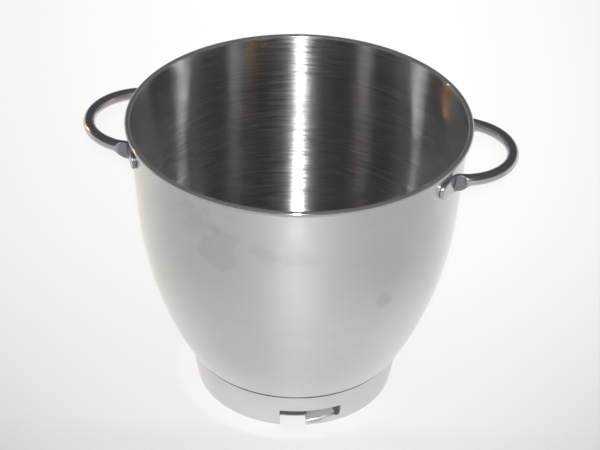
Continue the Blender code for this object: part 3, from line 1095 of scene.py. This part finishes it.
@dataclass
class Bowl:
    """The drawn bowl: curled rim, tapering wall, belly, a step for the ring, and a flat bottom."""

    wall: Wall
    ring: FootRing
    sides: int = 192
    curl_steps: int = 26
    taper_steps: int = 6
    wall_steps: int = 34
    edge_steps: int = 6
    inner_steps: int = 4
    corner_steps: int = 12
    floor_shares: tuple[float, ...] = (0.66, 0.33, 0.0)
    fitting_rounds: int = 20
    smooth_degrees: float = 40.0
    curl_margin: float = 0.15 * MM
    curl_zone: float = 200.0 * MM
    outward_lean: float = 0.35

    def profile(self) -> list[Point]:
        """The outer face from the end of the curl down to the middle of the bottom.

        Returns:
            The points, as (radius, height).
        """
        wall, ring = self.wall, self.ring
        curl_end = math.pi - wall.taper
        curl_start = curl_end - wall.curl_turn
        curl = arc((wall.curl_r, wall.curl_z), wall.curl_radius, curl_start, curl_end, self.curl_steps)

        edge_z = wall.ledge_height
        for _ in range(self.fitting_rounds):
            edge_z = wall.ledge_height + wall.ledge_outer * (1.0 - math.sin(wall.slope(edge_z)))
        side = []
        for i in range(1, self.taper_steps + 1):
            z = wall.top_z + (wall.belly_z - wall.top_z) * i / self.taper_steps
            side.append((wall.radius(z), z))
        for i in range(1, self.wall_steps + 1):
            z = wall.belly_z + (edge_z - wall.belly_z) * i / self.wall_steps
            side.append((wall.radius(z), z))
        slope = wall.slope(edge_z)
        edge_r = wall.radius(edge_z) - wall.ledge_outer * math.cos(slope)
        edge_centre = (edge_r, wall.ledge_height + wall.ledge_outer)
        edge = arc(edge_centre, wall.ledge_outer, -slope, -math.pi / 2, self.edge_steps)

        inner_z = wall.ledge_height - wall.ledge_inner
        inner_r = self._beside_ring(inner_z, -wall.ledge_inner)
        inner_end = math.pi - ring.taper
        inner = arc((inner_r, inner_z), wall.ledge_inner, math.pi / 2, inner_end, self.inner_steps)
        corner_z = wall.base_height + wall.base_corner
        corner_r = self._beside_ring(corner_z, wall.base_corner)
        corner = arc((corner_r, corner_z), wall.base_corner, -ring.taper, -math.pi / 2, self.corner_steps)
        floor = [(corner_r * share, wall.base_height) for share in self.floor_shares]
        return curl + side + edge[1:] + inner + corner + floor

    def _beside_ring(self, z: float, inset: float) -> float:
        """Where the centre of a round goes that touches the wall beside the foot ring.

        Args:
            z: Height of the centre.
            inset: The round's radius, negative where its centre lies outside the wall.

        Returns:
            The centre's distance from the axis.
        """
        ring = self.ring
        neck = (ring.sheet + ring.seat_gap) / math.cos(ring.taper)
        return ring.radius(z - inset * math.sin(ring.taper)) - neck - inset * math.cos(ring.taper)

    def build(self, kit: GroupKit) -> bpy.types.Object:
        """Models and dresses the bowl.

        Args:
            kit: The shared node groups.

        Returns:
            The finished piece.
        """
        piece = Workpiece("drawn_bowl")
        places = [Vector((r, 0.0, z)) for r, z in self.profile()]
        piece.start_point(places[0])
        for here, there in zip(places, places[1:]):
            piece.extrude_by(there - here)
        bpy.ops.mesh.select_all(action="SELECT")
        bpy.ops.mesh.spin(steps=self.sides, angle=math.tau, center=(0.0, 0.0, 0.0), axis=(0.0, 0.0, 1.0))
        piece.merge_doubles()
        piece.face_outwards()
        piece.leave()
        piece.apply("SOLIDIFY", thickness=self.wall.sheet, offset=-1.0, use_even_offset=True)
        piece.smooth(self.smooth_degrees)
        finishes = (Finish.OUTER_SATIN, Finish.INNER_BRUSHED, Finish.RIM_ROLLED)
        piece.dress([finish.make(kit) for finish in finishes], self._finish_at)
        return piece.object

    def _finish_at(self, centre: Vector, normal: Vector) -> int:
        """Which finish a face gets.

        Args:
            centre: The face's centre.
            normal: The face's normal.

        Returns:
            0 outside, 1 inside, 2 on the curled rim.
        """
        radius = centre.xy.length
        flat = Vector((centre.x, centre.y, 0.0)).normalized()
        past_wall = radius > self.wall.radius(centre.z) + self.curl_margin
        if centre.z > self.wall.curl_z or past_wall and centre.z > self.curl_zone:
            return 2
        return 0 if normal.dot(flat) - self.outward_lean * normal.z > 0.0 else 1


@dataclass
class Handle:
    """A bent rod whose ends are flattened into pads that follow the wall."""

    wall: Wall
    name: str
    node: str
    turn: float
    rod_radius: float = 4.25 * MM
    drop: float = 15.3 * MM
    standout: float = 28.25 * MM
    loop_radius: float = 38.0 * MM
    bend_radius: float = 5.0 * MM
    pad_thickness: float = 2.5 * MM
    pad_height: float = 13.2 * MM
    pad_drop: float = 1.8 * MM
    pad_reach: float = 19.8 * MM
    tip_radius: float = 7.0 * MM
    neck_flat: float = 1.5 * MM
    shoulder_length: float = 5.0 * MM
    spread_length: float = 8.0 * MM
    seat_gap: float = 0.3 * MM
    edge_break: float = 0.3 * MM
    flat_steps: int = 4
    round_steps: int = 16
    bevel_steps: int = 3
    tip_degrees: tuple[float, ...] = tuple(range(6, 91, 7))
    pad_steps: int = 6
    bend_steps: int = 12
    shoulder_step: float = 0.5 * MM
    shoulder_steps: int = 20
    loop_steps: int = 24
    sharp_edge: float = math.radians(40.0)
    smooth_degrees: float = 42.0

    def __post_init__(self) -> None:
        """Works out the loop's reach from the rim."""
        self.level = self.wall.height - self.drop
        self.reach = self.wall.rim_radius + self.standout

    def path(self) -> tuple[list[tuple[Vector, Vector, float]], float]:
        """Stations of half a handle, from the pad's tip to the farthest point of the loop.

        Returns:
            The stations, each a place in plan, the direction of the section's thickness and the distance
            from the tip; and the distance from the tip to the end of the bend.
        """
        pad_r = self.wall.radius(self.level) + self.seat_gap + self.pad_thickness / 2
        loop_u = self.reach - self.loop_radius
        bend_r = pad_r + self.bend_radius
        loop_r = self.loop_radius + self.bend_radius
        bend_u = (bend_r**2 - loop_r**2 + loop_u**2) / (2 * loop_u)
        bend_v = math.sqrt(bend_r**2 - bend_u**2)
        bend = Vector((bend_u, bend_v))
        loop = Vector((loop_u, 0.0))
        pad_end = math.atan2(bend_v, bend_u)
        pad_tip = math.asin(self.loop_radius / pad_r) + self.pad_reach / pad_r
        loop_start = math.atan2(bend_v, bend_u - loop_u)

        stations = []
        length = pad_r * (pad_tip - pad_end)
        tip = self.tip_radius / length
        shares = [tip * (1.0 - math.cos(math.radians(turn))) for turn in self.tip_degrees]
        rest = 1.0 - shares[-1]
        shares += [shares[-1] + rest * i / self.pad_steps for i in range(1, self.pad_steps + 1)]
        for share in shares:
            angle = pad_tip - share * (pad_tip - pad_end)
            outward = Vector((math.cos(angle), math.sin(angle)))
            stations.append((outward * pad_r, outward, length * share))

        start = math.atan2(-bend_v, -bend_u)
        turn = (loop_start - start) % math.tau - math.pi
        bend_length = self.bend_radius * abs(turn)
        for i in range(1, self.bend_steps + 1):
            share = i / self.bend_steps
            inward = Vector((math.cos(start + turn * share), math.sin(start + turn * share)))
            place = bend + inward * self.bend_radius
            stations.append((place, -inward, length + bend_length * share))
        length += bend_length

        loop_length = self.loop_radius * loop_start
        marks = [self.shoulder_step * i for i in range(1, self.shoulder_steps + 1)]
        rest = loop_length - marks[-1]
        marks += [marks[-1] + rest * i / self.loop_steps for i in range(1, self.loop_steps + 1)]
        for mark in marks:
            angle = loop_start * (1.0 - mark / loop_length)
            outward = Vector((math.cos(angle), math.sin(angle)))
            stations.append((loop + outward * self.loop_radius, outward, length + mark))
        return stations, length

    def section(self, distance: float, bend_end: float) -> Triple:
        """The rod's section at a distance from the pad's tip.

        Args:
            distance: Distance along the rod.
            bend_end: Where the bend ends.

        Returns:
            Half thickness, half height, and drop below the rod's centre line.
        """
        past_bend = distance - bend_end
        thin = 1.0 - smooth_share((past_bend - self.neck_flat) / self.shoulder_length)
        tall = 1.0 - smooth_share(past_bend / self.spread_length)
        half_thickness = self.rod_radius + (self.pad_thickness / 2 - self.rod_radius) * thin
        half_height = self.rod_radius + (self.pad_height / 2 - self.rod_radius) * tall
        if distance < self.tip_radius:
            to_round = self.tip_radius - distance
            half_height -= self.tip_radius - math.sqrt(self.tip_radius**2 - to_round**2)
        return half_thickness, half_height, self.pad_drop * tall

    def outline(self, half_thickness: float, half_height: float) -> list[Point]:
        """A round section, spread in height and cut by two flats.

        Args:
            half_thickness: Axis to each flat.
            half_height: Axis to the top.

        Returns:
            The points round the section, as (across, up).
        """
        regular = math.pi * self.flat_steps / (2 * (self.flat_steps + self.round_steps))
        corner = max(math.acos(half_thickness / self.rod_radius), regular)
        side = []
        for i in range(self.flat_steps):
            rise = math.sin(corner) * (2.0 * i / self.flat_steps - 1.0)
            across = min(half_thickness, self.rod_radius * math.sqrt(1.0 - rise**2))
            side.append((across, rise * half_height))
        for i in range(self.round_steps):
            turn = corner + (math.pi - 2.0 * corner) * i / self.round_steps
            across = min(max(self.rod_radius * math.cos(turn), -half_thickness), half_thickness)
            side.append((across, math.sin(turn) * half_height))
        return side + [(-across, -up) for across, up in side]

    def ring_places(self, station: tuple[Vector, Vector, float], bend_end: float) -> list[Vector]:
        """The section's points at one station, in the right-hand handle's frame.

        Args:
            station: Place, thickness direction and distance from the tip.
            bend_end: Where the bend ends.

        Returns:
            The points round the section.
        """
        place, out, distance = station
        half_thickness, half_height, drop = self.section(distance, bend_end)
        on_wall = 1.0 - smooth_share(distance / bend_end * 2.0 - 1.0)
        points = []
        for across, rise in self.outline(half_thickness, half_height):
            up = rise - drop
            lean = (self.wall.radius(self.level + up) - self.wall.radius(self.level)) * on_wall
            spot = place + out * across + place.normalized() * lean
            points.append(Vector((spot.x, spot.y, self.level + up)))
        return points

    def build(self, kit: GroupKit) -> bpy.types.Object:
        """Models and dresses the handle.

        Args:
            kit: The shared node groups.

        Returns:
            The finished piece.
        """
        stations, bend_end = self.path()
        for place, out, distance in reversed(stations[:-1]):
            stations.append((Vector((place.x, -place.y)), Vector((out.x, -out.y)), distance))
        turned = Matrix.Rotation(self.turn, 3, "Z")
        rings = [[turned @ p for p in self.ring_places(station, bend_end)] for station in stations]
        piece = Workpiece(self.name)
        piece.start_ring(rings[0], fill=True)
        for ring in rings[1:]:
            piece.extrude_ring(ring)
        bpy.ops.mesh.select_all(action="SELECT")
        bpy.ops.mesh.normals_make_consistent(inside=False)
        piece.select_edges(lambda edge: edge.calc_face_angle(0.0) > self.sharp_edge)
        bpy.ops.mesh.bevel(offset=self.edge_break, segments=self.bevel_steps, affect="EDGES")
        piece.leave()
        piece.smooth(self.smooth_degrees)
        piece.dress([Finish.HANDLE_POLISHED.make(kit)], lambda centre, normal: 0)
        return piece.object


# The studio


def heading(turn: float, fall: float) -> Vector:
    """A direction that starts along +Y, turns to the right and is then lowered.

    Args:
        turn: The turn, in radians.
        fall: The angle below the horizon, in radians.

    Returns:
        The direction, of length 1.
    """
    level = math.cos(fall)
    return Vector((math.sin(turn) * level, math.cos(turn) * level, -math.sin(fall)))


@dataclass
class PhotoCamera:
    """The photograph's camera, as fitted to the bowl's circles. Its frame is turned from the part's."""

    turn: float = math.radians(8.2)
    lens: float = 114.0
    sensor: float = 36.0
    position: Triple = (0.0, -1.14511, 0.90495)
    yaw: float = math.radians(0.103578)
    pitch: float = math.radians(34.152293)
    roll: float = math.radians(1.274969)

    def build(self) -> None:
        """Makes the camera and sets it as the scene's."""
        ahead = heading(self.yaw, self.pitch)
        right = Vector((math.cos(self.yaw), -math.sin(self.yaw), 0.0))
        up = right.cross(ahead)
        tilted = math.cos(self.roll) * right + math.sin(self.roll) * up
        upright = -math.sin(self.roll) * right + math.cos(self.roll) * up
        frame = Matrix((tilted, upright, -ahead)).transposed().to_4x4()
        data = bpy.data.cameras.new("photo_camera")
        data.lens = self.lens
        data.sensor_width = self.sensor
        camera = bpy.data.objects.new("photo_camera", data)
        bpy.context.scene.collection.objects.link(camera)
        camera.matrix_world = Matrix.Rotation(self.turn, 4, "Z") @ Matrix.Translation(self.position) @ frame
        bpy.context.scene.camera = camera

    def axes(self, board: Board, place: Socket) -> tuple[Socket, Socket]:
        """Coordinates to the camera's right and away from it.

        Args:
            board: The shader's board.
            place: A place or direction in the part's frame.

        Returns:
            The two coordinates.
        """
        cos, sin = math.cos(self.turn), math.sin(self.turn)
        across = board.vector("DOT_PRODUCT", place, (cos, sin, 0.0))
        away = board.vector("DOT_PRODUCT", place, (-sin, cos, 0.0))
        return across, away


@dataclass
class Lamp:
    """A round soft lamp that faces the bowl. Its angles are in degrees, seen from the bowl."""

    name: str
    azimuth: float
    elevation: float
    distance: float
    size: float
    power: float
    colour: Triple = (1.0, 1.0, 1.0)
    shows_in_gloss: bool = True
    aim: Triple = (0.0, 0.0, 0.12)

    def build(self, turn: float) -> None:
        """Adds the lamp.

        Args:
            turn: Turn of the camera's frame from the part's, in radians.
        """
        data = bpy.data.lights.new(self.name, "AREA")
        data.shape = "DISK"
        data.size = self.size
        data.energy = self.power
        data.color = self.colour
        towards = heading(-math.radians(self.azimuth) - turn, math.radians(self.elevation))
        lamp = bpy.data.objects.new(self.name, data)
        bpy.context.scene.collection.objects.link(lamp)
        lamp.location = Vector(self.aim) - towards * self.distance
        lamp.rotation_mode = "QUATERNION"
        lamp.rotation_quaternion = towards.to_track_quat("-Z", "Y")
        lamp.visible_glossy = self.shows_in_gloss
        lamp.visible_camera = False


@dataclass(frozen=True)
class Ramp:
    """A smooth change from a first value to a last one while the input goes from start to end."""

    start: float
    end: float
    first: float
    last: float

    def of(self, board: Board, value: Socket) -> Socket:
        """The ramp's value for an input."""
        return board.remap(value, self.start, self.end, self.first, self.last)


@dataclass
class Floor:
    """The pale floor, with painted light. It dims towards the near corners and a little at the left, keeps
    a painted glow round the foot ring, and is dark at the foot with a painted shadow under the bowl.

    Brightness and dimming are counted in levels of 255, along the axes of the camera's frame.
    """

    camera: PhotoCamera
    ring: FootRing
    size: float = 14.0
    tint: Triple = (1.0, 1.0, 0.985)
    roughness: float = 0.9
    plain_share: float = 0.85
    brightest: float = 257.5
    most_dim: float = 65.0
    display_gamma: float = 2.2
    # Painted glow round the foot, inside which the dimming at the left and in front is left out.
    glow_radius: float = 89.0 * MM
    glow_edge: float = 3.0 * MM
    # Painted falloff of light towards the sides, the near corners and the front, and a little at the left
    # and just in front of the bowl.
    side_dim: float = 120.0
    side_limit: float = 0.13
    corner_dim: float = 397.0
    corner_reach: float = 0.13
    corner_end: float = -0.12
    front_dim: float = 22.0
    front_reach: float = 0.24
    front_end: float = -0.35
    left_dim: Ramp = Ramp(-0.06, 0.06, 5.0, 0.0)
    left_share: Ramp = Ramp(0.1, 0.6, 1.0, 0.4)
    near_dim: Ramp = Ramp(-0.095, -0.06, 6.0, 0.0)
    near_share: Ramp = Ramp(0.05, 0.22, 1.0, 0.1)
    # Painted shadow under the bowl: its edge, nearer the axis where a mouth lets light in, and how dark it
    # gets.
    shade_radius: Ramp = Ramp(0.86, 0.91, 71.0 * MM, 62.0 * MM)
    shade: Ramp = Ramp(-1.0 * MM, 1.0 * MM, 0.12, 1.0)

    def build(self) -> None:
        """Adds the floor as the scene's stage, lit in part and for the rest showing its own brightness,
        into which falloff, a glow and a shadow are painted.
        """
        deselect_all()
        bpy.ops.mesh.primitive_plane_add(size=self.size)
        floor = bpy.context.active_object
        floor.name = "pale_floor"
        material = bpy.data.materials.new("pale_floor")
        material.use_nodes = True
        board = Board(material.node_tree)
        shader = material.node_tree.nodes["Principled BSDF"]
        output = material.node_tree.nodes["Material Output"]

        place = board.add("ShaderNodeTexCoord").outputs["Object"]
        # The floor's colour carries the painted falloff and glow and the painted shadow under the bowl.
        level = board.math("MULTIPLY", self._open_level(board, place), self._painted_shadow_share(board, place))
        colour = board.vector("SCALE", self.tint, level)
        board.fill(shader, {"Base Color": colour, "Roughness": self.roughness, "Specular IOR Level": 0.0})
        plain = board.fill(board.add("ShaderNodeEmission"), {"Color": colour})
        rays = board.add("ShaderNodeLightPath")
        seen = board.math("ADD", rays.outputs["Is Camera Ray"], rays.outputs["Is Glossy Ray"])
        seen = board.math("ADD", seen, rays.outputs["Is Transmission Ray"], clamp=True)
        mix = board.add("ShaderNodeMixShader")
        board.feed(mix.inputs[0], board.math("MULTIPLY", seen, self.plain_share))
        board.feed(mix.inputs[1], shader.outputs[0])
        board.feed(mix.inputs[2], plain.outputs[0])
        board.feed(output.inputs["Surface"], mix.outputs[0])
        floor.data.materials.append(material)

    def _open_level(self, board: Board, place: Socket) -> Socket:
        """Painted brightness of the floor where nothing stands on it: painted falloff of light, lifted in a
        painted glow round the foot.

        Args:
            board: The floor's board.
            place: The point on the floor.

        Returns:
            The brightness, 0 to 1.
        """
        across, away = self.camera.axes(board, place)
        corner = self._nearness(board, away, self.corner_end, self.corner_reach)
        corner = board.math("MULTIPLY_ADD", corner, self.corner_dim, self.side_dim)
        square = board.math("MINIMUM", board.math("MULTIPLY", across, across), self.side_limit)
        front = self._nearness(board, away, self.front_end, self.front_reach)
        dim = board.math("MULTIPLY_ADD", corner, square, board.math("MULTIPLY", front, self.front_dim))

        # Painted shade a little at the left and just in front of the bowl, left out inside the painted
        # glow.
        left = board.math("MULTIPLY", self.left_dim.of(board, across), self.left_share.of(board, away))
        aside = board.math("ABSOLUTE", across)
        near = board.math("MULTIPLY", self.near_dim.of(board, away), self.near_share.of(board, aside))
        glow = Ramp(self.glow_radius - self.glow_edge, self.glow_radius + self.glow_edge, 0.0, 1.0)
        past_glow = glow.of(board, board.vector("LENGTH", place))
        dim = board.math("MULTIPLY_ADD", board.math("ADD", left, near), past_glow, dim)
        dim = board.math("MINIMUM", dim, self.most_dim)
        shown = board.math("DIVIDE", board.math("SUBTRACT", self.brightest, dim), 255.0, clamp=True)
        return board.math("POWER", shown, self.display_gamma)

    def _nearness(self, board: Board, away: Socket, end: float, reach: float) -> Socket:
        """A factor that is 1 where the glow ends in front of the bowl, and grows towards the camera.

        Args:
            board: The floor's board.
            away: Distance from the bowl, away from the camera.
            end: Where the growth stops.
            reach: Distance in which it grows by a factor of e.

        Returns:
            The factor.
        """
        past = board.math("ADD", board.math("MAXIMUM", away, end), self.glow_radius)
        return board.math("EXPONENT", board.math("MULTIPLY", past, -1.0 / reach))

    def _painted_shadow_share(self, board: Board, place: Socket) -> Socket:
        """Painted shadow under the bowl: how much of the brightness is left there, where light reaches
        farther in at the slots.

        Args:
            board: The floor's board.
            place: The point on the floor.

        Returns:
            The share, 1 beside the bowl.
        """
        x, y, _ = board.split(place)
        turn = board.math("SUBTRACT", board.math("ARCTAN2", y, x), self.ring.slot_angle)
        open_side = board.math("COSINE", board.math("MULTIPLY", turn, float(self.ring.slots)))
        edge = self.shade_radius.of(board, open_side)
        return self.shade.of(board, board.math("SUBTRACT", board.vector("LENGTH", place), edge))


@dataclass
class Studio:
    """Floor, surround, lamps and camera. Its own frame is the camera's, turned from the part's."""

    ring: FootRing
    camera: PhotoCamera = field(default_factory=PhotoCamera)
    band_top: Ramp = Ramp(0.0, 0.8, 0.14, 0.20)
    band_colour: Triple = (0.90, 0.90, 0.89)
    ceiling_colour: Triple = (0.050, 0.0505, 0.053)
    backdrop_colour: Triple = (0.96, 0.96, 0.95)
    lamps: tuple[Lamp, ...] = (
        Lamp("key", 0.0, 35.0, 1.5, 0.07, 32.5),
        Lamp("warm_right", 26.0, 10.0, 1.5, 0.06, 0.10, (1.0, 0.45, 0.12)),
        Lamp("warm_left", -117.0, 13.0, 1.5, 0.03, 2.5, (1.0, 0.45, 0.12)),
        Lamp("fill_front", 0.0, 70.0, 2.4, 2.2, 16.0, shows_in_gloss=False),
        Lamp("fill_left", -105.0, 38.0, 2.6, 1.8, 14.0, shows_in_gloss=False),
        Lamp("fill_right", 105.0, 38.0, 2.6, 1.8, 14.0, shows_in_gloss=False),
        Lamp("fill_back", 180.0, 50.0, 2.6, 2.0, 16.0, shows_in_gloss=False),
    )

    def build(self) -> None:
        """Builds the studio."""
        self.camera.build()
        for lamp in self.lamps:
            lamp.build(self.camera.turn)
        Floor(self.camera, self.ring).build()
        self._surround()
        bpy.context.scene.view_settings.view_transform = "Standard"

    def _surround(self) -> None:
        """A surround that is pale round the horizon, highest behind the bowl, and a dim ceiling above."""
        world = bpy.data.worlds.new("surround")
        bpy.context.scene.world = world
        world.use_nodes = True
        board = Board(world.node_tree)
        background = world.node_tree.nodes["Background"]
        direction = board.add("ShaderNodeTexCoord").outputs["Generated"]
        _, _, height = board.split(direction)
        _, away = self.camera.axes(board, direction)
        share = board.remap(height, 0.0, self.band_top.of(board, away), 0.0, 1.0)
        seen = board.blend(share, (*self.band_colour, 1.0), (*self.ceiling_colour, 1.0))
        rays = board.add("ShaderNodeLightPath")
        colour = board.blend(rays.outputs["Is Camera Ray"], seen, (*self.backdrop_colour, 1.0))
        board.feed(background.inputs["Color"], colour)


def main() -> None:
    """Builds the studio and the pieces, and reports each piece."""
    logging.basicConfig(level=logging.INFO, format="%(name)s: %(message)s")
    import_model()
    wall = Wall()
    ring = FootRing(wall)
    Studio(ring).build()
    kit = GroupKit()
    makers = (
        (Bowl(wall, ring), "bowl", "brushed_steel"),
        (ring, "foot_ring", "satin_steel"),
        (Handle(wall, "bent_rod_right", "handle_right", 0.0), "handle_right", "polished_steel"),
        (Handle(wall, "bent_rod_left", "handle_left", math.pi), "handle_left", "polished_steel"),
    )
    for maker, node, slot in makers:
        piece = maker.build(kit)
        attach(piece, BODY)
        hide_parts(node)
        LOG.info("%s: %d faces", piece.name, len(piece.data.polygons))


if __name__ == "__main__":
    main()
